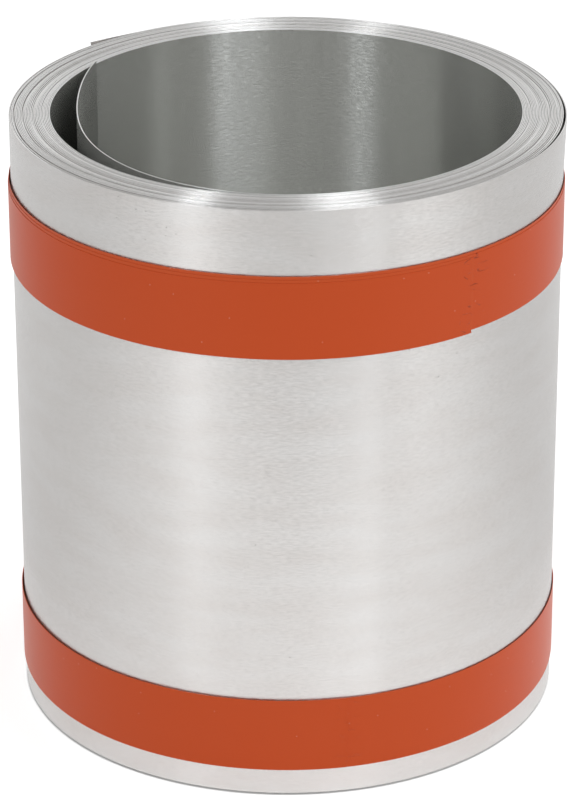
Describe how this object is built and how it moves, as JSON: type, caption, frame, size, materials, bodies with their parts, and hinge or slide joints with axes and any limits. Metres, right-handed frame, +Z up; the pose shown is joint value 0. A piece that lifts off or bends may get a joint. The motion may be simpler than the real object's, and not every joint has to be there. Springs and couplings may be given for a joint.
{
  "type": "roll of galvanized flashing",
  "caption": "Strip of thin galvanized sheet steel wound into an open-bored roll, standing on end and held by orange tape bands.",
  "frame": {"origin": "centre of the bore, on the plane of the bottom end that the roll stands on", "axes": "+Z up along the bore's axis; -Y towards the side where the tape's free ends are; +X to the right seen from there"},
  "size_m": [0.1813, 0.1815, 0.2047],
  "materials": {
    "galvanized_steel": "satin zinc coating with fine rolling lines along the strip",
    "orange_tape": "smooth orange plastic tape with a soft shine"
  },
  "bodies": {
    "root": {"flashing_coil": "galvanized_steel", "upper_tape_band": "orange_tape", "lower_tape_band": "orange_tape"}
  },
  "joints": []
}
